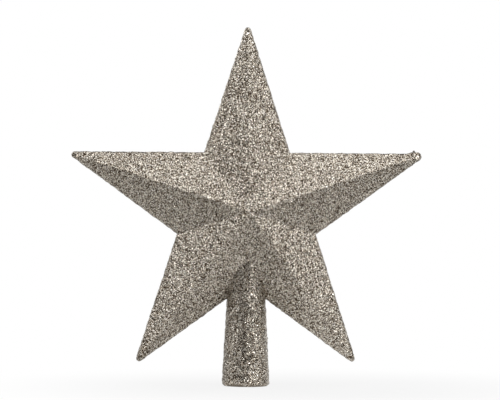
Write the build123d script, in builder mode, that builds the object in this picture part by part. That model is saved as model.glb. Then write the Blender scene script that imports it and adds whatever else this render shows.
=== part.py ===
from build123d import *
import os
from math import cos, hypot, radians, sin, sqrt, tan

# Two-sided star tree topper with a tapered socket stem.
# Two thin moulded halves meet on the parting plane y = 0, with a lap joint, locating pegs and cement.
# A crust of glitter covers each half. The origin is the middle of the stem's mouth, +Z is up and the
# front faces -Y. Lengths are in millimetres and angles in degrees.

# Star
POINTS = 5
TIP_RADIUS = 100.3  # star centre to the sharp corner of a point
NOTCH_RADIUS = 38.3  # star centre to the corner between two points
TIP_ROUND = 1.3  # rounding of each point
PEAK_HEIGHT = 24.6  # parting plane to the peak in the middle of a half
RIM_HEIGHT = 1.6  # parting plane to the foot of the facets
CENTRE_HEIGHT = 92.4  # stem mouth to star centre
SHELL_WALL = 1.2  # thickness of the facets
RIM_WIDTH = 2.4  # width of the land where the halves meet

# Stem and its socket
SOCKET_RADIUS = 10.4  # straight stretch at the mouth, which grips the tree's leader
SOCKET_LAND = 8.0  # length of that straight stretch
STEM_WALL = 1.6
STEM_DRAFT = 3.0  # taper of the stem and of the socket above its straight stretch
STEM_REACH = 20.0  # top of the stem to the star centre
MOUTH_BEVEL = 1.0  # bevel of the mouth's outer edge
MOUTH_LEAD = 0.3  # chamfer of the mouth's inner edge

# Lap joint on the parting plane, and its cement
LAP_INSET = 0.7  # outer wall of the step, on the back half
LAP_DEPTH = 0.9  # how far the front half's lip reaches into the back half
CEMENT_GAP = 0.2  # film of cement around the lip

# Locating pegs, one in each point
PEG_CIRCLE = 55.0  # star centre to each peg
PEG_RADIUS = 1.2
PEG_LENGTH = 3.0
PEG_CLEARANCE = 0.1
BOSS_RADIUS = 2.5

# Glitter crust
COAT = 0.4
COAT_EDGE = 0.3  # stem mouth to the lower edge of the crust

# Seen along a point's middle line, its notches lie this far along it and to its sides. Every edge of the
# outline is on a line at the same distance from the star centre.
HALF_POINT = 180.0 / POINTS
NOTCH_ALONG = NOTCH_RADIUS * cos(radians(HALF_POINT))
NOTCH_ASIDE = NOTCH_RADIUS * sin(radians(HALF_POINT))
EDGE_DISTANCE = TIP_RADIUS * NOTCH_ASIDE / hypot(TIP_RADIUS - NOTCH_ALONG, NOTCH_ASIDE)

# Facets climb from the rim to the peak at this slope. FACET_RISE is height per unit of wall thickness.
FACET_SLOPE = (PEAK_HEIGHT - RIM_HEIGHT) / EDGE_DISTANCE
FACET_RISE = hypot(1.0, FACET_SLOPE)

STEM_TOP = CENTRE_HEIGHT - STEM_REACH
BEVEL_SHARE = 2.0 - sqrt(2.0)  # what the mouth's bevel loses per unit that its wall moves in
SPAN = 2 * (CENTRE_HEIGHT + TIP_RADIUS)  # a box of this size about the origin holds the whole star
TOP_ANGLE = 90.0  # one point stands straight up
STAR_PLANE = Plane(origin=(0, 0, CENTRE_HEIGHT), x_dir=(1, 0, 0), z_dir=(0, -1, 0))


def taper(height):
    """Change of radius, by the draft, from the top of the socket's straight stretch to a height."""
    return (SOCKET_LAND - height) * tan(radians(STEM_DRAFT))


def star_outline(inset):
    """Star outline on the parting plane, moved inwards by inset all round."""
    scale = 1.0 - inset / EDGE_DISTANCE
    rounding = TIP_ROUND - inset
    with BuildSketch(STAR_PLANE) as outline:
        with BuildLine():
            corners = []
            for corner in range(2 * POINTS):
                radius = scale * (NOTCH_RADIUS if corner % 2 else TIP_RADIUS)
                angle = radians(TOP_ANGLE + corner * HALF_POINT)
                corners.append((radius * cos(angle), radius * sin(angle)))
            Polyline(*corners, close=True)
        make_face()
        if rounding > 0:
            tips = outline.vertices().group_by(SortBy.DISTANCE)[-1]
            fillet(tips, radius=rounding)
    return outline.sketch


def star_half(inset, depth):
    """Front half of the star: a straight rim, then facets that rise to the peak, moved in by depth."""
    outline = star_outline(inset)
    rim = RIM_HEIGHT + inset * FACET_SLOPE - depth * FACET_RISE
    peak = PEAK_HEIGHT - depth * FACET_RISE
    extrude(outline, amount=rim)
    foot = outline.moved(Location((0, -rim, 0)))
    loft([foot.face(), Vertex(0, -peak, CENTRE_HEIGHT)], ruled=True)


def stem_solid(inset, foot):
    """Tapered stem from a foot height up into the star, moved in by inset, with a bevelled lower edge."""
    radius = SOCKET_RADIUS + STEM_WALL - inset
    bevel = MOUTH_BEVEL - inset * BEVEL_SHARE
    with BuildSketch(Plane.XZ) as profile:
        with BuildLine():
            Polyline(
                (0, foot),
                (radius + taper(foot), foot),
                (radius + taper(STEM_TOP), STEM_TOP),
                (0, STEM_TOP),
                close=True,
            )
        make_face()
        if bevel > 0:
            chamfer(profile.vertices().sort_by(Axis.X)[-1], length=bevel)
    revolve(profile.sketch, axis=Axis.Z)


def socket_solid():
    """Space inside the stem: a chamfered mouth, the straight stretch, then the taper."""
    top = STEM_TOP - SHELL_WALL
    with BuildSketch(Plane.XZ) as profile:
        with BuildLine():
            Polyline(
                (0, 0),
                (SOCKET_RADIUS + MOUTH_LEAD, 0),
                (SOCKET_RADIUS, MOUTH_LEAD),
                (SOCKET_RADIUS, SOCKET_LAND),
                (SOCKET_RADIUS + taper(top), top),
                (0, top),
                close=True,
            )
        make_face()
    revolve(profile.sketch, axis=Axis.Z)


def peg_places():
    """Places of the pegs on the parting plane, one on the middle line of each point."""
    return PolarLocations(PEG_CIRCLE, POINTS, start_angle=TOP_ANGLE)


def peg_circles(radius):
    """Circle sketches of one radius at the places of the pegs."""
    with BuildSketch(STAR_PLANE) as circles:
        with peg_places():
            Circle(radius)
    return circles.sketch


def seam_step(inset, depth):
    """Everything inside the seam's step, from the parting plane back by depth."""
    stem_solid(inset, 0)
    with Locations((0, depth / 2, 0)):
        Box(SPAN, depth, SPAN, mode=Mode.INTERSECT)
    extrude(star_outline(inset), amount=-depth)


# Outer form of a half, with the whole stem
with BuildPart() as form:
    star_half(0, 0)
    stem_solid(0, 0)

# Space inside a half, with gaps that leave the peg bosses standing
with BuildPart() as core:
    star_half(RIM_WIDTH, SHELL_WALL)
    socket_solid()
    extrude(peg_circles(BOSS_RADIUS), amount=PEAK_HEIGHT, mode=Mode.SUBTRACT)

# The same space on both sides of the parting plane, near the seam
with BuildPart() as seam_core:
    extrude(star_outline(RIM_WIDTH), amount=-(LAP_DEPTH + CEMENT_GAP))
    socket_solid()

# One half, up to the parting plane
with BuildPart() as half:
    add(form.part)
    add(core.part, mode=Mode.SUBTRACT)
    split(bisect_by=Plane.XZ, keep=Keep.TOP)

# Lip of the front half, which reaches into the back half
with BuildPart() as lip:
    seam_step(LAP_INSET + CEMENT_GAP, LAP_DEPTH)
    add(seam_core.part, mode=Mode.SUBTRACT)

# Recess of the back half, which takes the lip and the cement around it
with BuildPart() as recess:
    seam_step(LAP_INSET, LAP_DEPTH + CEMENT_GAP)
    add(seam_core.part, mode=Mode.SUBTRACT)

# Front half: the shell, its lip and its pegs
with BuildPart() as front_shell:
    add(half.part)
    add(lip.part)
    extrude(peg_circles(PEG_RADIUS), amount=-PEG_LENGTH)
front_shell.part.label = "front_shell"

# Back half: the mirrored shell, with the recess and a blind hole for each peg
with BuildPart() as back_shell:
    mirror(half.part, about=Plane.XZ)
    add(recess.part, mode=Mode.SUBTRACT)
    extrude(
        peg_circles(PEG_RADIUS + PEG_CLEARANCE),
        amount=-(PEG_LENGTH + CEMENT_GAP),
        mode=Mode.SUBTRACT,
    )
back_shell.part.label = "back_shell"

# Cement: what the lip leaves free in the recess
with BuildPart() as seam_cement:
    add(recess.part)
    add(lip.part, mode=Mode.SUBTRACT)
seam_cement.part.label = "seam_cement"

# Glitter crust over the front half, down to just above the mouth
with BuildPart() as front_coat:
    star_half(-COAT, -COAT)
    stem_solid(-COAT, -COAT)
    add(form.part, mode=Mode.SUBTRACT)
    split(bisect_by=Plane.XZ, keep=Keep.TOP)
    split(bisect_by=Plane.XY.offset(COAT_EDGE), keep=Keep.TOP)
front_coat.part.label = "front_coat"

# The same crust over the back half
with BuildPart() as back_coat:
    mirror(front_coat.part, about=Plane.XZ)
back_coat.part.label = "back_coat"

os.makedirs("parts", exist_ok=True)
for piece in (front_shell, back_shell, seam_cement, front_coat, back_coat):
    export_step(piece.part, f"parts/{piece.part.label}.step")
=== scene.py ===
import math

import bpy
import numpy as np
from mathutils import Matrix, Vector, noise
from mathutils.geometry import delaunay_2d_cdt
from mathutils.kdtree import KDTree


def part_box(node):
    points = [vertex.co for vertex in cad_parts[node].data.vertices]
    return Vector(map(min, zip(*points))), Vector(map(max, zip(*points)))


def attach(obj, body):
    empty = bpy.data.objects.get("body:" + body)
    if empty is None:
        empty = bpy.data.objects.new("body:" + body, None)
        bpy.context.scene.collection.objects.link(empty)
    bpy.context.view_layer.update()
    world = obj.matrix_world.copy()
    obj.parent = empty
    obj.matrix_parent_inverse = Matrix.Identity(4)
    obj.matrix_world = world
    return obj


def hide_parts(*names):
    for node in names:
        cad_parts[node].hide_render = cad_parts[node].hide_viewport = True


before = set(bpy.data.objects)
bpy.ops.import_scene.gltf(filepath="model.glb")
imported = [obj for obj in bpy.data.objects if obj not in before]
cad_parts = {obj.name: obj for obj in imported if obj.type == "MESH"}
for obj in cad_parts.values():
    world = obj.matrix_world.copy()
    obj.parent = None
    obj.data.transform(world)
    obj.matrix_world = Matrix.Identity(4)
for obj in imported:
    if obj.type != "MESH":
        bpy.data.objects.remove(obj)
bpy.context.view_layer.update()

bl_info = {
    "name": "Glitter Star Topper",
    "version": (1, 0, 0),
    "blender": (4, 5, 0),
    "location": "View3D > Sidebar > Star",
    "description": "Dresses a two-sided star tree topper in a crust of champagne glitter",
    "category": "Object",
}

# The star stands on its stem. +Z is up, the front faces -Y and lengths are in metres. On the star's
# plane, places are (x, z) about the star's middle, and each half's heights rise from that plane
# outwards. Spots and corners are (x, z, height), with z from the stem's mouth.
POINTS = 5
TURN = 2 * math.pi / POINTS  # one point's middle line to the next, or to its own edges' normals
TOP = math.pi / 2  # the upper point's direction
HALVES = (("front", -1), ("back", 1))  # name of each half, and its side of the parting plane

PHOTO_WIDTH = 500  # pixels
BAKE_MAP = "OFBake"
WHITE = (1.0, 1.0, 1.0, 1.0)

# Crust
RIM_DRAFT = 0.05  # how far the rim leans in per unit of its height
RIM_KNOBS = 0.8  # height of the knobs along the rim, as a share of those on the stem
LIP_CORNERS = 5  # corners in the rounding of the stem's lip
BURIED = 0.75  # how far the crust's inside lies under its surface, as a share of its thickness
DEEPEST = 0.0002  # most that a dip in the crust goes in
RUN_ON = 0.0009  # how deep the star's crust and the stem's run on under each other

# Flakes
GRAIN = 0.6  # width of the finest bumps, in flake sides
FLAKE_GAP = 0.5  # least gap between a sheet's corners and its edges or creases, in flake sides
SLANTS = (0.2, 0.8)  # least and most turn of the pattern that flakes are spread on, in radians
ROWS = 1.2  # rows of that pattern per place along a row, with some to spare
FLAKE_SIDES = 6  # sides of a flake that stands proud
SMALLEST = 0.7  # radius of the smallest proud flake, as a share of the largest

# Looks of the flakes: steps of tint and of polish, where dark, dusky, champagne and pale flakes lie
# among the tints, colour casts from dull to polished flakes, and roughness of either. Each flake
# draws its tint at random; the dark tints are partly painted shade and the pale ones partly painted
# glints
TINTS = 32
POLISHES = 8
TINT_PLACES = (0.0, 0.48, 0.63, 1.0)
CASTS = ((0.0, (1.0, 0.945, 0.89)), (0.5, (0.935, 0.97, 0.93)), (1.0, (0.96, 0.955, 1.0)))
DULL = 0.42
POLISHED = 0.18
CELL_REACH = 0.38  # middle to corners of a face in the bake map, in cells of one tint and polish

# Shades of the bare pieces: where they lie in their pattern, and how light they are
PLASTIC_MARKS = ((0.3, 0.82), (0.7, 1.12))
CEMENT_CLOUDS = ((0.35, 0.8), (0.65, 1.0))

# Tolerances of the sheets
FLAT = 1e-12  # square metres, below which three corners are in line
SAME = 1e-9  # metres, below which two places are one
BENT = 1e-6  # how far the normals round a corner differ where a sheet isn't flat

# Thick spots of the crust: middle about the star's middle, spread and height
THICK_SPOTS = (
    ((0.0894, 0.0316, 0.0000), 0.0025, 0.0009),
)

# Small heaps of flakes: middle about the star's middle, spread along x, z and height, and count
CLUMPS = (
    ((0.0891, 0.0325, 0.0000), (0.0005, 0.0005, 0.0004), 70),
    ((-0.0537, 0.0008, 0.0003), (0.0005, 0.0003, 0.0004), 40),
    ((0.0114, -0.0672, 0.0000), (0.0003, 0.0004, 0.0004), 24),
)

# Paper sweep: a flat disc, a floor that bends up at its edge, and a wall
DISC_RADIUS = 0.5
FLOOR_RADIUS = 1.8
BEND_RADIUS = 0.8
BEND_CORNERS = 9
WALL_HEIGHT = 1.4
PAPER_STEPS = 72
# The same middle centres the painted pool of light that the glitter mirrors round the foot, a
# little right of the stem
FOOT_SHADE_AND_PAINTED_POOL_MIDDLE = (0.03, -0.02, 0.0)  # middle of the shade round the star's foot

# Lamps: name, place, what they point at, width and height, spread in degrees and power in watts
STAR = (0.0, 0.0, 0.09)
LAMPS = (
    ("top_box", (0.22, -0.05, 1.20), (0.22, 0.0, 0.09), (1.0, 1.6), 180.0, 9.1),
    ("right_box", (1.0, -0.36, 0.56), STAR, (0.5, 0.8), 180.0, 3.02),
    ("left_box", (-1.0, -0.36, 0.51), STAR, (0.5, 0.8), 180.0, 2.67),
    ("front_strip", (0.58, -0.95, 0.15), STAR, (0.13, 0.5), 60.0, 0.27),
    ("rim_box", (0.65, 0.85, 0.35), STAR, (0.5, 0.8), 180.0, 1.5),
    ("back_box", (-0.7, 0.8, 0.60), STAR, (0.6, 0.6), 180.0, 2.5),
)


# Sizes and colours

class StarSizes(bpy.types.PropertyGroup):
    """Sizes of the star and its stem, measured over the crust unless a note says otherwise."""

    tip_radius: bpy.props.FloatProperty(
        name="Tip Radius",
        description="Star's middle to the sharp corner of a bare point",
        default=0.1003,
        subtype="DISTANCE",
    )
    tip_round: bpy.props.FloatProperty(
        name="Tip Rounding",
        description="Rounding of each point",
        default=0.0017,
        subtype="DISTANCE",
    )
    rim_height: bpy.props.FloatProperty(
        name="Rim Height",
        description="Parting plane to the foot of the facets",
        default=0.0018,
        subtype="DISTANCE",
    )
    rim_upright: bpy.props.FloatProperty(
        name="Rim Upright",
        description="Height of the straight part of the rim, before it rounds off to the facets",
        default=0.0003,
        subtype="DISTANCE",
        precision=4,
    )
    middle_height: bpy.props.FloatProperty(
        name="Middle Height",
        description="Stem mouth to the star's middle",
        default=0.0924,
        subtype="DISTANCE",
    )
    coat: bpy.props.FloatProperty(
        name="Crust",
        description="Thickness of the crust over the bare shell",
        default=0.0004,
        subtype="DISTANCE",
    )
    stem_radius: bpy.props.FloatProperty(
        name="Stem Radius",
        description="Radius of the stem at the mouth, before its lip is rounded",
        default=0.01264,
        subtype="DISTANCE",
    )
    stem_draft: bpy.props.FloatProperty(
        name="Stem Draft",
        description="Taper of the stem",
        default=math.radians(3.0),
        subtype="ANGLE",
    )
    stem_waist: bpy.props.FloatProperty(
        name="Stem Waist",
        description="Stem's mouth to where the glitter on it no longer narrows",
        default=0.044,
        subtype="DISTANCE",
    )
    stem_reach: bpy.props.FloatProperty(
        name="Stem Reach",
        description="Stem mouth to the top of the stem inside the star",
        default=0.0724,
        subtype="DISTANCE",
    )
    lip_round: bpy.props.FloatProperty(
        name="Lip Rounding",
        description="Rounding of the crust around the stem's mouth",
        default=0.0015,
        subtype="DISTANCE",
    )


class GlitterSettings(bpy.types.PropertyGroup):
    """How the glitter lies and which colours it has, the darkest partly painted shade and the
    palest partly painted glints.
    """

    flake: bpy.props.FloatProperty(
        name="Flake",
        description="Usual length of a flake's side in the crust",
        default=0.00043,
        subtype="DISTANCE",
        precision=5,
    )
    stray: bpy.props.FloatProperty(
        name="Stray",
        description="How far flakes stray from an even spread, as a share of their size",
        default=0.42,
        subtype="FACTOR",
    )
    roughness: bpy.props.FloatProperty(
        name="Crust Roughness",
        description="Height of the crust's bumps, which tilt the flakes",
        default=0.00017,
        subtype="DISTANCE",
        precision=5,
    )
    stem_roughness: bpy.props.FloatProperty(
        name="Stem Roughness",
        description="Height of the crust's bumps on the stem",
        default=0.00019,
        subtype="DISTANCE",
        precision=5,
    )
    lump_height: bpy.props.FloatProperty(
        name="Lump Height",
        description="Height of the broad lumps where the glue lies thicker",
        default=0.00007,
        subtype="DISTANCE",
        precision=5,
    )
    lump_width: bpy.props.FloatProperty(
        name="Lump Width",
        description="Usual width of the broad lumps",
        default=0.0030,
        subtype="DISTANCE",
        precision=4,
    )
    knob_height: bpy.props.FloatProperty(
        name="Knob Height",
        description="Height of the small knobs of flakes along the rim and on the stem",
        default=0.0004,
        subtype="DISTANCE",
        precision=5,
    )
    knob_width: bpy.props.FloatProperty(
        name="Knob Width",
        description="Usual width of the small knobs of flakes",
        default=0.0024,
        subtype="DISTANCE",
        precision=4,
    )
    proud: bpy.props.FloatProperty(
        name="Proud Flakes",
        description="Flakes that stand proud of the facets and the stem, on each square metre",
        default=190000.0,
    )
    proud_rim: bpy.props.FloatProperty(
        name="Proud Flakes on the Rim",
        description="Flakes that stand proud of the rim, on each metre of it",
        default=1500.0,
    )
    proud_radius: bpy.props.FloatProperty(
        name="Proud Flake Radius",
        description="Middle to corner of the largest six-sided flake",
        default=0.00026,
        subtype="DISTANCE",
        precision=5,
    )
    proud_tilt: bpy.props.FloatProperty(
        name="Proud Flake Tilt",
        description="Usual tilt of a flake that stands proud",
        default=math.radians(20.0),
        subtype="ANGLE",
    )
    film: bpy.props.FloatProperty(
        name="Film",
        description="Thickness of a flake",
        default=0.00003,
        subtype="DISTANCE",
        precision=5,
    )
    # Dark and dusky flakes are partly painted shade: they stand for the gaps between flakes and for
    # flakes turned from the light
    dark: bpy.props.FloatVectorProperty(
        name="Dark Flakes",
        description="Colour of the darkest flakes",
        default=(0.0330, 0.0207, 0.0119),
        size=3,
        subtype="COLOR",
    )
    dusky: bpy.props.FloatVectorProperty(
        name="Dusky Flakes",
        description="Colour of the flakes between dark and champagne",
        default=(0.0860, 0.0620, 0.0412),
        size=3,
        subtype="COLOR",
    )
    middle: bpy.props.FloatVectorProperty(
        name="Champagne Flakes",
        description="Colour of most flakes",
        default=(0.490, 0.4280, 0.3560),
        size=3,
        subtype="COLOR",
    )
    # Pale flakes are partly painted glints
    pale: bpy.props.FloatVectorProperty(
        name="Pale Flakes",
        description="Colour of the palest flakes",
        default=(0.945, 0.893, 0.810),
        size=3,
        subtype="COLOR",
    )
    seed: bpy.props.IntProperty(
        name="Seed",
        description="Seed of the flakes' places and colours",
        default=5,
    )


class ShellSettings(bpy.types.PropertyGroup):
    """Colours of the bare mouldings, which show inside the stem, and of their cement."""

    plastic: bpy.props.FloatVectorProperty(
        name="Plastic",
        description="Colour of the moulded plastic",
        default=(0.30, 0.245, 0.175),
        size=3,
        subtype="COLOR",
    )
    cement: bpy.props.FloatVectorProperty(
        name="Cement",
        description="Colour of the dried cement in the seam",
        default=(0.52, 0.47, 0.38),
        size=3,
        subtype="COLOR",
    )


class StageSettings(bpy.types.PropertyGroup):
    """Camera, lamps, floor and backdrop."""

    distance: bpy.props.FloatProperty(
        name="Camera Distance",
        description="Camera to the star's middle",
        default=1.5,
        subtype="DISTANCE",
    )
    yaw: bpy.props.FloatProperty(
        name="Camera Yaw",
        description="How far the camera stands to the left of the star's front",
        default=math.radians(3.68),
        subtype="ANGLE",
    )
    pitch: bpy.props.FloatProperty(
        name="Camera Pitch",
        description="How far the camera stands above the star's middle",
        default=math.radians(0.19),
        subtype="ANGLE",
    )
    roll: bpy.props.FloatProperty(
        name="Camera Roll",
        description="How far the camera is turned about its line of sight",
        default=math.radians(0.38),
        subtype="ANGLE",
    )
    scale: bpy.props.FloatProperty(
        name="Pixels per Metre",
        description="Pixels of the picture per metre at the star's plane",
        default=1882.4,
    )
    aim: bpy.props.FloatVectorProperty(
        name="Aim",
        description="Picture's middle, right of and above the star's middle",
        default=(0.00172, 0.00623),
        size=2,
        subtype="XYZ",
        unit="LENGTH",
    )
    paper: bpy.props.FloatVectorProperty(
        name="Paper",
        description="Colour of the floor and backdrop",
        default=(0.6, 0.6, 0.596),
        size=3,
        subtype="COLOR",
    )
    room: bpy.props.FloatProperty(
        name="Room Light",
        description="Brightness of the even light from all round",
        default=0.1,
    )


# Shader nodes

class Wire:
    """An output socket in a finish, for shader maths written as Python expressions."""

    def __init__(self, finish, socket):
        self.finish = finish
        self.socket = socket

    def __add__(self, other):
        return self.finish.maths("ADD", self, other)

    def __radd__(self, other):
        return self.finish.maths("ADD", other, self)

    def __sub__(self, other):
        return self.finish.maths("SUBTRACT", self, other)

    def __rsub__(self, other):
        return self.finish.maths("SUBTRACT", other, self)

    def __mul__(self, other):
        return self.finish.maths("MULTIPLY", self, other)

    def __rmul__(self, other):
        return self.finish.maths("MULTIPLY", other, self)


class Finish:
    """A material or world under construction, with its nodes."""

    def __init__(self, owner):
        self.owner = owner
        owner.use_nodes = True
        self.tree = owner.node_tree
        self.tree.nodes.clear()

    def node(self, kind, settings, sockets, output=0):
        """Adds a node, sets it up, fills or links its sockets, and gives one of its outputs."""
        node = self.tree.nodes.new(kind)
        for name, value in settings.items():
            if name == "stops":
                self.set_stops(node.color_ramp.elements, value)
            else:
                setattr(node, name, value)
        for name, value in sockets.items():
            socket = self.pick(node.inputs, name)
            if isinstance(value, Wire):
                self.tree.links.new(value.socket, socket)
            else:
                socket.default_value = value
        return Wire(self, self.pick(node.outputs, output)) if node.outputs else None

    def pick(self, sockets, name):
        """The socket of a name or number. Of several with one name, the one left in use."""
        if isinstance(name, int):
            return sockets[name]
        return next(socket for socket in sockets if socket.enabled and socket.name == name)

    def set_stops(self, elements, stops):
        """Gives a colour ramp its stops, each a place and a colour."""
        while len(elements) < len(stops):
            elements.new(1.0)
        for element, (place, colour) in zip(elements, stops):
            element.position = place
            element.color = (*colour, 1.0)

    def maths(self, operation, first, second):
        return self.node("ShaderNodeMath", {"operation": operation}, {0: first, 1: second})

    def fade(self, value, start, end, first, last):
        """Smooth change from a first number to a last one, as a value goes from start to end."""
        return self.node(
            "ShaderNodeMapRange",
            {"interpolation_type": "SMOOTHSTEP"},
            {"Value": value, "From Min": start, "From Max": end, "To Min": first, "To Max": last},
        )

    def spread(self, name):
        """Value of a mesh attribute that was drawn face by face."""
        return self.node("ShaderNodeAttribute", {"attribute_name": name}, {}, "Fac")

    def shades(self, stops, value):
        """Colour from a ramp, by a value."""
        return self.node("ShaderNodeValToRGB", {"stops": stops}, {"Fac": value})

    def cloud(self, place, scale, detail):
        """Soft random pattern."""
        return self.node(
            "ShaderNodeTexNoise", {}, {"Vector": place, "Scale": scale, "Detail": detail}, "Fac"
        )

    def surface(self, sockets):
        """Main shader, which goes to the material's output."""
        shader = self.node("ShaderNodeBsdfPrincipled", {}, sockets)
        self.node("ShaderNodeOutputMaterial", {}, {"Surface": shader})
        return self.owner


def new_finish(name):
    return Finish(bpy.data.materials.new(name))


def lightened(colour, steps):
    """Stops of a ramp through lighter and darker shades of a colour."""
    return [(place, tuple(light * part for part in colour)) for place, light in steps]


def glitter_finish():
    """Metallised film flakes. Each has its own tint, drawn at random, and its own polish; the dark
    tints are partly painted shade of the gaps and of flakes turned from the light, and the pale
    ones partly painted glints.
    """
    glitter = bpy.context.scene.star_glitter
    finish = new_finish("champagne_glitter")
    tint = finish.spread("tint")
    polish = finish.spread("polish")
    # Tints drawn at random flake by flake: the darker ones partly painted shade, the palest partly
    # painted glints
    tints_with_painted_shade_and_glint = (glitter.dark, glitter.dusky, glitter.middle, glitter.pale)
    depth = finish.shades(list(zip(TINT_PLACES, tints_with_painted_shade_and_glint)), tint)
    cast = finish.shades(CASTS, polish)
    colour = finish.node(
        "ShaderNodeMix",
        {"data_type": "RGBA", "blend_type": "MULTIPLY"},
        {"Factor": 1.0, "A": depth, "B": cast},
        "Result",
    )
    rough = DULL - polish * (DULL - POLISHED)
    return finish.surface({"Base Color": colour, "Metallic": 0.9, "Roughness": rough})


def plastic_finish():
    """Bare moulded plastic, with faint flow marks and a slightly uneven polish."""
    colour = bpy.context.scene.star_shell.plastic
    finish = new_finish("moulded_plastic")
    place = finish.node("ShaderNodeTexCoord", {}, {}, "Object")
    flow = finish.cloud(place, scale=90.0, detail=3.0)
    fine = finish.cloud(place, scale=1400.0, detail=2.0)
    shade = finish.shades(lightened(colour, PLASTIC_MARKS), flow)
    bump = finish.node(
        "ShaderNodeBump", {}, {"Strength": 0.12, "Distance": 0.0002, "Height": fine}
    )
    rough = 0.34 + flow * 0.2
    return finish.surface({"Base Color": shade, "Roughness": rough, "Normal": bump})


def cement_finish():
    """Dried cement, a little cloudy."""
    colour = bpy.context.scene.star_shell.cement
    finish = new_finish("dried_cement")
    place = finish.node("ShaderNodeTexCoord", {}, {}, "Object")
    cloud = finish.cloud(place, scale=260.0, detail=4.0)
    shade = finish.shades(lightened(colour, CEMENT_CLOUDS), cloud)
    return finish.surface({"Base Color": shade, "Roughness": 0.25 + cloud * 0.3})


# Form of the star

def turning(angle):
    """Matrix that turns rows of places by an angle."""
    return np.array(((math.cos(angle), math.sin(angle)), (-math.sin(angle), math.cos(angle))))


class StarForm:
    """Outer form of one half, worked out from the sizes and from the CAD crust's own box."""

    def __init__(self):
        sizes = bpy.context.scene.star_sizes
        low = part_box("front_coat")[0]
        self.middle = sizes.middle_height
        self.edge = sizes.tip_radius * math.cos(TURN) + sizes.coat
        self.tip_round = sizes.tip_round
        self.tip_centre = (self.edge - self.tip_round) / math.cos(TURN)
        self.tip_angle = math.atan2(
            self.tip_round * math.sin(TURN),
            self.tip_centre + self.tip_round * math.cos(TURN),
        )
        self.rim = sizes.rim_height
        self.peak = -low.y
        self.slope = (self.peak - self.rim) / self.edge
        self.upright = sizes.rim_upright
        self.bead = (self.rim - self.upright) / (math.hypot(1.0, self.slope) - self.slope)
        self.bead_rise = math.atan(1.0 / self.slope)
        self.bead_width = self.bead * (1.0 - math.cos(self.bead_rise))
        self.stem = sizes.stem_radius
        self.draft = math.tan(sizes.stem_draft)
        self.stem_waist = sizes.stem_waist
        self.stem_top = sizes.stem_reach
        self.stem_foot = low.z
        self.lip = sizes.lip_round

    def off_point(self, places):
        """Angle at the star's middle between each place and the nearest point's middle line."""
        angle = np.arctan2(places[:, 1], places[:, 0]) - TOP
        return np.abs((angle + TURN / 2) % TURN - TURN / 2)

    def outline_reach(self, places):
        """Distance from the star's middle to its outline, in the direction of each place."""
        off = self.off_point(places)
        line = self.edge / np.cos(TURN - off)
        inside = self.tip_round**2 - (self.tip_centre * np.sin(off)) ** 2
        nose = self.tip_centre * np.cos(off) + np.sqrt(np.maximum(inside, 0.0))
        return np.where(off < self.tip_angle, nose, line)

    def edge_gap(self, places):
        """How far each place lies inside the outline, measured square to the nearest edge."""
        share = np.hypot(places[:, 0], places[:, 1]) / self.outline_reach(places)
        return self.edge * (1.0 - share)

    def facet_height(self, places):
        """Height of the facets, which rise from the edges to the peak and meet in sharp ridges."""
        along = np.hypot(places[:, 0], places[:, 1]) * np.cos(TURN - self.off_point(places))
        return self.peak - self.slope * along

    def on_rim(self, spots):
        """How far each spot counts as rim: 1 up to the rim's top, and 0 from half as high again."""
        return np.clip(3.0 - 2.0 * spots[:, 2] / self.rim, 0.0, 1.0)

    def stem_radius(self, heights):
        """Radius of the stem, which narrows up to its waist."""
        return self.stem - np.minimum(heights, self.stem_waist) * self.draft

    def outline(self, spacing):
        """Places along the outline, and the step inwards at each that keeps the edges parallel."""
        steps = max(2, round(self.tip_round * TURN / spacing))
        turns = np.linspace(0.0, TURN, steps, endpoint=False)
        outwards = np.column_stack((np.cos(turns), np.sin(turns)))
        nose = np.array((self.tip_centre, 0.0)) + self.tip_round * outwards
        normal = np.array((math.cos(TURN), math.sin(TURN)))
        start = np.array((self.tip_centre, 0.0)) + self.tip_round * normal
        mitre = np.array((1.0, math.tan(TURN / 2)))
        notch = self.edge * mitre
        steps = round(float(np.linalg.norm(notch - start)) / spacing)
        share = np.linspace(0.0, 1.0, steps, endpoint=False)[:, None]
        edge = start + (notch - start) * share
        half = np.vstack((nose, edge, notch))
        inwards = -np.vstack((outwards, np.tile(normal, (steps, 1)), mitre))
        mirror = np.array((1.0, -1.0))
        point = np.vstack((half[:0:-1] * mirror, half[:-1]))
        ways = np.vstack((inwards[:0:-1] * mirror, inwards[:-1]))
        places, directions = [], []
        for number in range(POINTS):
            turned = turning(TOP + number * TURN)
            places.append(point @ turned)
            directions.append(ways @ turned)
        return np.vstack(places), np.vstack(directions)

    def creases(self, spacing, stray, rng):
        """Places along the ridges and valleys between the facets, each line from the middle out."""
        found = []
        for number in range(2 * POINTS):
            angle = TOP + number * TURN / 2
            way = np.array((math.cos(angle), math.sin(angle)))
            length = float(self.outline_reach(way[None])[0])
            along = np.arange(2 * spacing, length, spacing)
            along += rng.uniform(-stray, stray, len(along)) * spacing / 2
            places = along[:, None] * way
            found.append(places[self.edge_gap(places) > self.bead_width + spacing / 2])
        return found

    def in_stem(self, spots, depth):
        """Which spots lie deeper than this inside the stem."""
        x, z, height = spots.T
        return (np.hypot(x, height) < self.stem_radius(z) - depth) & (z < self.stem_top)

    def in_star(self, spots, depth):
        """Which spots lie deeper than this inside the star."""
        places = spots[:, :2] - (0.0, self.middle)
        under = self.facet_height(places) - depth > spots[:, 2]
        return (self.edge_gap(places) > depth) & under


# Sheets of flakes

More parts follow.
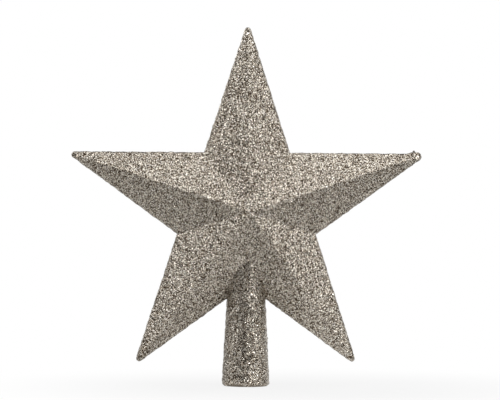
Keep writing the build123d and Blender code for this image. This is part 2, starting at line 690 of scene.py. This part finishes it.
def scatter(low, high, spacing, stray, rng):
    """Places spread over a rectangle on a slanted triangle pattern, each moved at random."""
    reach = float(np.linalg.norm(np.subtract(high, low))) / 2
    count = math.ceil(reach / spacing) + 1
    rows = math.ceil(ROWS * count)
    across, up = np.meshgrid(np.arange(-count, count + 1), np.arange(-rows, rows + 1))
    pattern = np.column_stack(
        (
            (across + 0.5 * (up % 2)).ravel() * spacing,
            up.ravel() * spacing * math.sqrt(3) / 2,
        )
    )
    places = pattern @ turning(rng.uniform(*SLANTS)) + np.add(low, high) / 2
    places += rng.uniform(-stray, stray, places.shape) * spacing
    return places[np.all((places > low) & (places < high), axis=1)]


def clear_of(places, loop, gap):
    """The places that keep a gap to a loop."""
    tree = KDTree(len(loop))
    for number, place in enumerate(loop):
        tree.insert((*place, 0.0), number)
    tree.balance()
    return places[[tree.find((*place, 0.0))[2] > gap for place in places]]


def triangles_within(loop, places, lines=()):
    """Triangles inside an anticlockwise loop, with its places and then the others as corners.

    The others may start with lines of places, given by how many each has, that no triangle crosses.
    """
    corners = np.vstack((loop, places))
    count = len(loop)
    edges = [(number, (number + 1) % count) for number in range(count)]
    first = count
    for length in lines:
        edges += [(number, number + 1) for number in range(first, first + length - 1)]
        first += length
    vectors = [Vector(corner) for corner in corners.tolist()]
    found = delaunay_2d_cdt(vectors, edges, [], 0, SAME, True)
    source = np.array([came_from[0] for came_from in found[3]])
    triangles = source[np.array(found[2])]
    a, b, c = (corners[column] for column in np.sort(triangles, axis=1).T)
    (x, y), (u, v) = (b - a).T, (c - a).T
    outside = np.all(triangles < count, axis=1) & (x * v - y * u < FLAT)
    return triangles[~outside]


def split_bands(rows, count, rng):
    """Triangles between rows of equally many places, each square cut by either diagonal."""
    steps = np.arange(count)
    after = (steps + 1) % count
    found = []
    for row in range(rows - 1):
        a, b = row * count + steps, row * count + after
        c, d = b + count, a + count
        turn = (rng.random(count) < 0.5)[:, None]
        for one, other in (((a, b, c), (a, b, d)), ((a, c, d), (b, c, d))):
            found.append(np.where(turn, np.column_stack(one), np.column_stack(other)))
    return np.vstack(found)


class Skin:
    """A sheet of triangles, with no more corners than they use."""

    def __init__(self, corners, triangles):
        used, triangles = np.unique(triangles, return_inverse=True)
        self.corners = corners[used]
        self.triangles = triangles.reshape(-1, 3)

    def middles(self):
        return self.corners[self.triangles].mean(axis=1)

    def without(self, gone):
        """The sheet without some triangles, and without any that then meet only in a corner."""
        skin = Skin(self.corners, self.triangles[~gone])
        while True:
            ends = skin.open_edges()[:, 0]
            pinched = np.bincount(ends, minlength=len(skin.corners)) > 1
            if not pinched.any():
                return skin
            skin = Skin(skin.corners, skin.triangles[~pinched[skin.triangles].any(axis=1)])

    def open_edges(self):
        """Edges with a triangle on one side only, in the direction of that triangle."""
        edges = np.vstack([self.triangles[:, [a, (a + 1) % 3]] for a in range(3)])
        count = len(self.corners)
        ways = edges[:, 0] * count + edges[:, 1]
        back = edges[:, 1] * count + edges[:, 0]
        return edges[~np.isin(ways, back)]

    def normals(self):
        """Mean of the triangles' normals around each corner, and how far they differ there."""
        a, b, c = (self.corners[self.triangles[:, side]] for side in range(3))
        square = np.cross(b - a, c - a)
        square /= np.linalg.norm(square, axis=1, keepdims=True)
        total = np.zeros_like(self.corners)
        for side in range(3):
            np.add.at(total, self.triangles[:, side], square)
        length = np.linalg.norm(total, axis=1)
        count = np.bincount(self.triangles.ravel())
        return total / length[:, None], 1.0 - length / count

    def border(self):
        """Corners along the open edges, in order."""
        after = dict(self.open_edges().tolist())
        corner = start = next(iter(after))
        found = []
        while not found or corner != start:
            found.append(corner)
            corner = after[corner]
        return found

    def thinned(self):
        """Large triangles over the same sheet, without the corners that lie on flat stretches."""
        border = self.border()
        bent = self.normals()[1] > BENT
        bent[border] = False
        used = np.concatenate((border, np.flatnonzero(bent)))
        places = self.corners[used, :2]
        return used[triangles_within(places[:len(border)], places[len(border):])]


def star_skin(form, glitter, rng):
    """Facets and rounded rim of one half, without what lies inside the stem."""
    loop, inwards = form.outline(glitter.flake)
    foot = loop - inwards * form.upright * RIM_DRAFT
    sheets = [np.column_stack((foot, np.zeros(len(foot))))]
    steps = math.ceil(form.bead * form.bead_rise / glitter.flake)
    for rise in np.linspace(0.0, form.bead_rise, steps):
        places = loop + inwards * form.bead * (1.0 - math.cos(rise))
        bead = form.upright + form.bead * math.sin(rise)
        height = np.minimum(bead, form.facet_height(places))
        sheets.append(np.column_stack((places, height)))
    rows = len(sheets)
    brink = sheets[-1][:, :2]
    reach = np.abs(loop).max(axis=0)
    creases = form.creases(glitter.flake, glitter.stray, rng)
    places = scatter(-reach, reach, glitter.flake, glitter.stray, rng)
    places = places[form.edge_gap(places) > form.bead_width]
    places = clear_of(places, np.vstack((brink, *creases)), FLAKE_GAP * glitter.flake)
    places = np.vstack((*creases, places))
    facets = np.column_stack((places, form.facet_height(places)))
    corners = np.vstack((*sheets, facets))
    corners[:, 1] += form.middle
    count = len(loop)
    band = split_bands(rows, count, rng)
    inside = triangles_within(brink, places, [len(line) for line in creases])
    inside += (rows - 1) * count
    skin = Skin(corners, np.vstack((band, inside)))
    return skin.without(form.in_stem(skin.middles(), RUN_ON))


def stem_skin(form, glitter, rng):
    """Half of the stem with its rounded lip, up to where it goes into the star."""
    turns = np.linspace(-math.pi / 2, 0.0, LIP_CORNERS)
    lip_middle = (form.stem_radius(form.lip) - form.lip, form.stem_foot + form.lip)
    lip = np.column_stack((np.cos(turns), np.sin(turns))) * form.lip + lip_middle
    upper = [(form.stem_radius(z), z) for z in (form.stem_waist, form.stem_top)]
    profile = np.vstack((lip, upper))
    runs = np.linalg.norm(np.diff(profile, axis=0), axis=1)
    lengths = np.concatenate(((0.0,), np.cumsum(runs)))
    width = math.pi * form.stem_radius(form.stem_top / 2)
    size = np.array((width, lengths[-1]))
    loop = rectangle(size, glitter.flake)
    places = scatter(np.zeros(2), size, glitter.flake, glitter.stray, rng)
    places = clear_of(places, loop, FLAKE_GAP * glitter.flake)
    flat = np.vstack((loop, places))
    angle = flat[:, 0] / width * math.pi
    radius = np.interp(flat[:, 1], lengths, profile[:, 0])
    z = np.interp(flat[:, 1], lengths, profile[:, 1])
    corners = np.column_stack((-radius * np.cos(angle), z, radius * np.sin(angle)))
    skin = Skin(corners, triangles_within(loop, places))
    return skin.without(form.in_star(skin.middles(), RUN_ON))


def rectangle(size, spacing):
    """Evenly spaced places round a rectangle that starts at the origin."""
    across = round(size[0] / spacing)
    up = round(size[1] / spacing)
    along = np.concatenate(
        (
            np.column_stack((np.arange(across) / across, np.zeros(across))),
            np.column_stack((np.ones(up), np.arange(up) / up)),
            np.column_stack((1 - np.arange(across) / across, np.ones(across))),
            np.column_stack((np.zeros(up), 1 - np.arange(up) / up)),
        )
    )
    return along * size


def swells(corners, width):
    """Smooth random numbers between -1 and 1, one for each corner, in swells of about a width."""
    return np.array([noise.noise(Vector(corner) / width) for corner in corners.tolist()])


def bumps(corners, form, glitter, roughness, knobs):
    """How far the crust stands out at each corner, from flake to flake and more broadly.

    Knobs, by the share given, and thick spots add to it. None reaches below the stem's mouth.
    """
    found = roughness * swells(corners, GRAIN * glitter.flake)
    found += glitter.lump_height * swells(corners, glitter.lump_width)
    found += glitter.knob_height * swells(corners, glitter.knob_width) * knobs
    for middle, spread, height in THICK_SPOTS:
        gap = np.linalg.norm(corners - middle - (0.0, form.middle, 0.0), axis=1)
        found += height * np.exp(-0.5 * (gap / spread) ** 2)
    return np.clip(found, -DEEPEST, corners[:, 1])


def crusted(skin, backing, rise, depth):
    """A closed crust over a skin, with rough flakes outside and an even inside.

    Corners on the parting plane stay on it.
    """
    normals = skin.normals()[0]
    normals[skin.corners[:, 2] == 0.0, 2] = 0.0
    outer = skin.corners + normals * rise[:, None]
    inner = skin.corners - normals * depth
    count = len(skin.corners)
    inside = backing[:, ::-1] + count
    a, b = skin.open_edges().T
    border = [np.column_stack(side) for side in ((b, a, a + count), (b, a + count, b + count))]
    return Skin(np.vstack((outer, inner)), np.vstack((skin.triangles, inside, *border)))


# Meshes

def placed(corners, side):
    """Corners of the front half, of side -1, or the back half, of side 1, as (x, y, z)."""
    x, z, height = corners.T
    return np.column_stack((x, side * height, z))


def new_mesh(name, corners, faces, tints, polishes, finish):
    """A flat-faced mesh whose faces have a tint and a polish each, from groups of like faces."""
    mesh = bpy.data.meshes.new(name)
    sides = np.concatenate([np.full(len(group), group.shape[1]) for group in faces])
    starts = np.concatenate(((0,), np.cumsum(sides)[:-1]))
    indices = np.concatenate([group.ravel() for group in faces])
    mesh.vertices.add(len(corners))
    mesh.vertices.foreach_set("co", corners.astype(np.float32).ravel())
    mesh.loops.add(len(indices))
    mesh.loops.foreach_set("vertex_index", indices.astype(np.int32))
    mesh.polygons.add(len(sides))
    mesh.polygons.foreach_set("loop_start", starts.astype(np.int32))
    mesh.update(calc_edges=True)
    mesh.shade_flat()
    for label, steps, count in (("tint", tints, TINTS), ("polish", polishes, POLISHES)):
        values = mesh.attributes.new(label, "FLOAT", "FACE")
        values.data.foreach_set("value", (steps / (count - 1)).astype(np.float32))
    corner = np.arange(len(indices)) - np.repeat(starts, sides)
    turn = 2 * math.pi * corner / np.repeat(sides, sides)
    cell = np.column_stack((np.repeat(tints, sides), np.repeat(polishes, sides))) + 0.5
    cell += CELL_REACH * np.column_stack((np.cos(turn), np.sin(turn)))
    layer = mesh.uv_layers.new(name=BAKE_MAP)
    layer.uv.foreach_set("vector", (cell / (TINTS, POLISHES)).astype(np.float32).ravel())
    mesh.materials.append(finish)
    mesh.validate()
    return mesh


def new_piece(mesh):
    """A piece of glitter, which moves with the star."""
    piece = bpy.data.objects.new(mesh.name, mesh)
    bpy.context.scene.collection.objects.link(piece)
    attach(piece, "root")
    return piece


def draw_looks(count, rng):
    """A tint step and a polish step for each flake."""
    return rng.integers(TINTS, size=count), rng.integers(POLISHES, size=count)


# Flakes that stand proud

def facet_spots(form, glitter, rng):
    """Spots on the facets, with the way out of the facet at each."""
    reach = form.tip_centre + form.tip_round
    count = round(glitter.proud * (2 * reach) ** 2)
    places = rng.uniform(-reach, reach, (count, 2))
    places = places[form.edge_gap(places) > form.bead_width]
    heights = form.facet_height(places)
    step = 1e-6
    rises = [
        (form.facet_height(places + way) - heights) / step for way in ((step, 0.0), (0.0, step))
    ]
    normals = np.column_stack((-rises[0], -rises[1], np.ones(len(places))))
    spots = np.column_stack((places, heights)) + (0.0, form.middle, 0.0)
    clear = ~form.in_stem(spots, 0.0)
    return spots[clear], normals[clear] / np.hypot(1.0, form.slope)


def rim_spots(form, glitter, rng):
    """Spots on the rounded rim, with the way out of the rim at each."""
    loop, inwards = form.outline(glitter.flake)
    count = round(glitter.proud_rim * len(loop) * glitter.flake)
    chosen = rng.integers(len(loop), size=count)
    rise = rng.uniform(0.0, form.bead_rise, count)
    inwards = inwards[chosen]
    places = loop[chosen] + inwards * form.bead * (1.0 - np.cos(rise))[:, None]
    heights = form.upright + form.bead * np.sin(rise)
    spots = np.column_stack((places, heights)) + (0.0, form.middle, 0.0)
    normals = np.column_stack((-inwards * np.cos(rise)[:, None], np.sin(rise)))
    clear = ~form.in_stem(spots, 0.0)
    return spots[clear], normals[clear]


def stem_spots(form, glitter, rng):
    """Spots on the stem, with the way out of it at each."""
    width = math.pi * form.stem
    count = round(glitter.proud * width * form.stem_top)
    angle = rng.uniform(0.0, math.pi, count)
    z = rng.uniform(form.stem_foot + form.lip, form.stem_top, count)
    normals = np.column_stack((np.cos(angle), np.full(count, form.draft), np.sin(angle)))
    spots = normals * form.stem_radius(z)[:, None]
    spots[:, 1] = z
    clear = ~form.in_star(spots, 0.0)
    return spots[clear], normals[clear]


def clump_spots(form, clump, rng):
    """Spots in a small heap of flakes, which face all ways."""
    middle, spread, count = clump
    spots = rng.normal(0.0, 1.0, (count, 3))
    spots /= np.maximum(np.linalg.norm(spots, axis=1, keepdims=True), 1.0)
    normals = rng.normal(0.0, 1.0, (count, 3))
    normals /= np.linalg.norm(normals, axis=1, keepdims=True)
    return spots * spread + middle + (0.0, form.middle, 0.0), normals


def plates(middles, normals, glitter, rng):
    """Thin flat flakes, each tilted at random.

    Gives their corners, their faces in groups of like faces, and how many of each a flake has.
    """
    count = len(middles)
    lean = rng.normal(0.0, math.tan(glitter.proud_tilt), (count, 3))
    normals = normals + np.clip(lean, -1.0, 1.0)
    normals /= np.linalg.norm(normals, axis=1, keepdims=True)
    across = np.cross(normals, rng.normal(0.0, 1.0, (count, 3)))
    across /= np.linalg.norm(across, axis=1, keepdims=True)
    along = np.cross(normals, across)
    radius = glitter.proud_radius * rng.uniform(SMALLEST, 1.0, (count, 1))
    ring = [
        radius * (across * math.cos(turn) + along * math.sin(turn))
        for turn in np.linspace(0.0, 2 * math.pi, FLAKE_SIDES, endpoint=False)
    ]
    half = normals * glitter.film / 2
    corners = np.stack([middles + way + up for up in (half, -half) for way in ring], axis=1)
    first = 2 * FLAKE_SIDES * np.arange(count)[:, None]
    steps = np.arange(FLAKE_SIDES)
    after = (steps + 1) % FLAKE_SIDES
    caps = [first + steps, first + 2 * FLAKE_SIDES - 1 - steps]
    sides = np.column_stack((steps + FLAKE_SIDES, after + FLAKE_SIDES, after, steps))
    faces = [
        np.stack(caps, axis=1).reshape(-1, FLAKE_SIDES),
        (first[:, :, None] + sides).reshape(-1, 4),
    ]
    return corners.reshape(-1, 3), faces, (len(caps), FLAKE_SIDES)


# Stage

def set_paper():
    """A round floor of pale paper that curves up into a wall all round."""
    turns = np.linspace(-math.pi / 2, 0.0, BEND_CORNERS)
    bend = np.column_stack((np.cos(turns), np.sin(turns) + 1.0)) * BEND_RADIUS
    bend[:, 0] += FLOOR_RADIUS
    profile = np.vstack(((DISC_RADIUS, 0.0), bend, (FLOOR_RADIUS + BEND_RADIUS, WALL_HEIGHT)))
    steps = PAPER_STEPS
    angles = np.linspace(0.0, 2 * math.pi, steps, endpoint=False)
    corners = [
        (radius * math.cos(angle), radius * math.sin(angle), height)
        for radius, height in profile.tolist()
        for angle in angles.tolist()
    ]
    faces = [tuple(range(steps))]
    for ring in range(len(profile) - 1):
        for step in range(steps):
            a, b = ring * steps + step, ring * steps + (step + 1) % steps
            faces.append((b, a, a + steps, b + steps))
    mesh = bpy.data.meshes.new("paper_floor")
    mesh.from_pydata(corners, [], faces, shade_flat=False)
    mesh.materials.append(paper_finish())
    floor = bpy.data.objects.new("paper_floor", mesh)
    bpy.context.scene.collection.objects.link(floor)


def paper_finish():
    """Matt paper, white to the eye but for some shade round the star's foot.

    The glitter mirrors painted light from it: a white pool round the foot, greyer further off, and
    a painted shade in front, where it shows only the matt paper.
    """
    stage = bpy.context.scene.star_stage
    finish = new_finish("pale_paper")
    place = finish.node("ShaderNodeTexCoord", {}, {}, "Object")
    grain = finish.node("ShaderNodeTexNoise", {}, {"Vector": place, "Scale": 30.0}, "Fac")
    matt = finish.node(
        "ShaderNodeBsdfPrincipled",
        {},
        {"Base Color": (*stage.paper, 1.0), "Roughness": 0.85 + grain * 0.1},
    )
    white = finish.node("ShaderNodeEmission", {}, {"Color": WHITE, "Strength": 1.0})
    seen, mirrored, through = (
        finish.node("ShaderNodeLightPath", {}, {}, ray)
        for ray in ("Is Camera Ray", "Is Glossy Ray", "Is Transmission Ray")
    )
    back = finish.node("ShaderNodeSeparateXYZ", {}, {"Vector": place}, "Y")
    away = finish.node(
        "ShaderNodeVectorMath", {"operation": "DISTANCE"}, {0: place, 1: FOOT_SHADE_AND_PAINTED_POOL_MIDDLE}, "Value"
    )
    beyond = finish.fade(away, start=0.04, end=0.2, first=0.85, last=1.0)
    # Painted light and shade seen only in the glitter's reflections: behind fades the mirrored
    # paper from white at the back to matt in front, a painted shade; around is a painted pool of
    # white light round the foot
    behind = finish.fade(back, start=-0.5, end=-0.08, first=0.0, last=1.0)
    around = finish.fade(away, start=0.03, end=0.085, first=1.0, last=0.42)
    white_and_painted_pool_share = seen * beyond + (mirrored + through) * (behind * around)
    shade = finish.node("ShaderNodeMixShader", {}, {0: white_and_painted_pool_share, 1: matt, 2: white})
    finish.node("ShaderNodeOutputMaterial", {}, {"Surface": shade})
    return finish.owner


def set_room():
    """Even light from all round."""
    world = bpy.data.worlds.new("studio")
    bpy.context.scene.world = world
    finish = Finish(world)
    light = {"Color": WHITE, "Strength": bpy.context.scene.star_stage.room}
    shade = finish.node("ShaderNodeBackground", {}, light)
    finish.node("ShaderNodeOutputWorld", {}, {"Surface": shade})


def set_lamps():
    """Soft boxes above, to both sides and behind, and a narrow box with a grid by the camera."""
    for name, place, aim, size, spread, power in LAMPS:
        lamp = bpy.data.lights.new(name, "AREA")
        lamp.shape = "RECTANGLE"
        lamp.size, lamp.size_y = size
        lamp.spread = math.radians(spread)
        lamp.energy = power
        box = bpy.data.objects.new(name, lamp)
        box.location = place
        way = Vector(aim) - Vector(place)
        box.rotation_euler = way.to_track_quat("-Z", "Y").to_euler()
        bpy.context.scene.collection.objects.link(box)


def set_camera():
    """A camera at the picture's viewing angle, in front of the star and a little to its left."""
    stage = bpy.context.scene.star_stage
    middle = Vector((0.0, 0.0, bpy.context.scene.star_sizes.middle_height))
    back = Vector(
        (
            -math.sin(stage.yaw) * math.cos(stage.pitch),
            -math.cos(stage.yaw) * math.cos(stage.pitch),
            math.sin(stage.pitch),
        )
    )
    level = back.to_track_quat("Z", "Y").to_matrix()
    aim = middle + level.col[0] * stage.aim[0] + level.col[1] * stage.aim[1]
    place = middle + back * stage.distance
    turned = (place - aim).to_track_quat("Z", "Y").to_matrix()
    turned = turned @ Matrix.Rotation(stage.roll, 3, "Z")
    lens = bpy.data.cameras.new("camera")
    lens.lens = lens.sensor_width * stage.scale * stage.distance / PHOTO_WIDTH
    camera = bpy.data.objects.new("camera", lens)
    camera.matrix_world = Matrix.Translation(place) @ turned.to_4x4()
    bpy.context.scene.collection.objects.link(camera)
    bpy.context.scene.camera = camera


# Steps

def repaint(node, finish):
    """Gives a CAD piece its finish."""
    node.data.materials.clear()
    node.data.materials.append(finish)


class STAR_OT_shells(bpy.types.Operator):
    """Finish the two bare mouldings, which show inside the stem, and their cement"""

    bl_idname = "star.shells"
    bl_label = "Shells and Cement"

    def execute(self, context):
        plastic = plastic_finish()
        for node in ("front_shell", "back_shell"):
            repaint(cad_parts[node], plastic)
        repaint(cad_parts["seam_cement"], cement_finish())
        return {"FINISHED"}


class STAR_OT_crust(bpy.types.Operator):
    """Lay the crust of glitter over the front and back half"""

    bl_idname = "star.crust"
    bl_label = "Glitter Crust"

    def execute(self, context):
        glitter = context.scene.star_glitter
        form = StarForm()
        finish = glitter_finish()
        depth = BURIED * context.scene.star_sizes.coat
        for number, (half, side) in enumerate(HALVES):
            rng = np.random.default_rng((glitter.seed, number))
            star = star_skin(form, glitter, rng)
            stem = stem_skin(form, glitter, rng)
            rim_knobs = RIM_KNOBS * form.on_rim(star.corners)
            parts = (
                (f"{half}_glitter", star, star.thinned(), glitter.roughness, rim_knobs),
                (f"{half}_stem_glitter", stem, stem.triangles, glitter.stem_roughness, 1.0),
            )
            for name, skin, backing, roughness, knobs in parts:
                rise = bumps(skin.corners, form, glitter, roughness, knobs)
                crust = crusted(skin, backing, rise, depth)
                corners = placed(crust.corners, side)
                triangles = crust.triangles[:, ::-1] if side > 0 else crust.triangles
                tints, polishes = draw_looks(len(triangles), rng)
                mesh = new_mesh(name, corners, [triangles], tints, polishes, finish)
                piece = new_piece(mesh)
                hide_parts(f"{half}_coat")
        return {"FINISHED"}


class STAR_OT_flakes(bpy.types.Operator):
    """Stick single flakes on the crust of the front and back half, where they stand proud of it"""

    bl_idname = "star.flakes"
    bl_label = "Proud Flakes"

    def execute(self, context):
        glitter = context.scene.star_glitter
        form = StarForm()
        finish = bpy.data.materials["champagne_glitter"]
        for number, (name, side) in enumerate(HALVES):
            rng = np.random.default_rng((glitter.seed, number, 1))
            spots = [find(form, glitter, rng) for find in (facet_spots, rim_spots, stem_spots)]
            if side < 0:
                spots += [clump_spots(form, clump, rng) for clump in CLUMPS]
            middles, normals = (np.vstack(part) for part in zip(*spots))
            corners, faces, shares = plates(middles, normals, glitter, rng)
            if side > 0:
                faces = [group[:, ::-1] for group in faces]
            looks = draw_looks(len(middles), rng)
            tints, polishes = (
                np.concatenate([np.repeat(look, share) for share in shares]) for look in looks
            )
            corners = placed(corners, side)
            mesh = new_mesh(f"{name}_flakes", corners, faces, tints, polishes, finish)
            new_piece(mesh)
        return {"FINISHED"}


class STAR_OT_stage(bpy.types.Operator):
    """Set up the floor, backdrop, lamps and camera"""

    bl_idname = "star.stage"
    bl_label = "Stage"

    def execute(self, context):
        set_paper()
        set_room()
        set_lamps()
        set_camera()
        context.scene.view_settings.view_transform = "Standard"
        return {"FINISHED"}


class STAR_PT_panel(bpy.types.Panel):
    """Steps that dress the star"""

    bl_idname = "STAR_PT_panel"
    bl_label = "Glitter Star"
    bl_space_type = "VIEW_3D"
    bl_region_type = "UI"
    bl_category = "Star"

    def draw(self, context):
        for step in STEPS:
            self.layout.operator(step.bl_idname)
        for group in GROUPS:
            settings = getattr(context.scene, group)
            for name in settings.bl_rna.properties.keys():
                if name not in ("rna_type", "name"):
                    self.layout.prop(settings, name)


STEPS = (STAR_OT_shells, STAR_OT_crust, STAR_OT_flakes, STAR_OT_stage)
GROUPS = {
    "star_sizes": StarSizes,
    "star_glitter": GlitterSettings,
    "star_shell": ShellSettings,
    "star_stage": StageSettings,
}


def register():
    for kind in (*GROUPS.values(), *STEPS, STAR_PT_panel):
        bpy.utils.register_class(kind)
    for name, kind in GROUPS.items():
        setattr(bpy.types.Scene, name, bpy.props.PointerProperty(type=kind))


def unregister():
    for name in GROUPS:
        delattr(bpy.types.Scene, name)
    for kind in (STAR_PT_panel, *STEPS, *GROUPS.values()):
        bpy.utils.unregister_class(kind)


def main():
    register()
    bpy.ops.star.shells()
    bpy.ops.star.crust()
    bpy.ops.star.flakes()
    bpy.ops.star.stage()


if __name__ == "__main__":
    main()
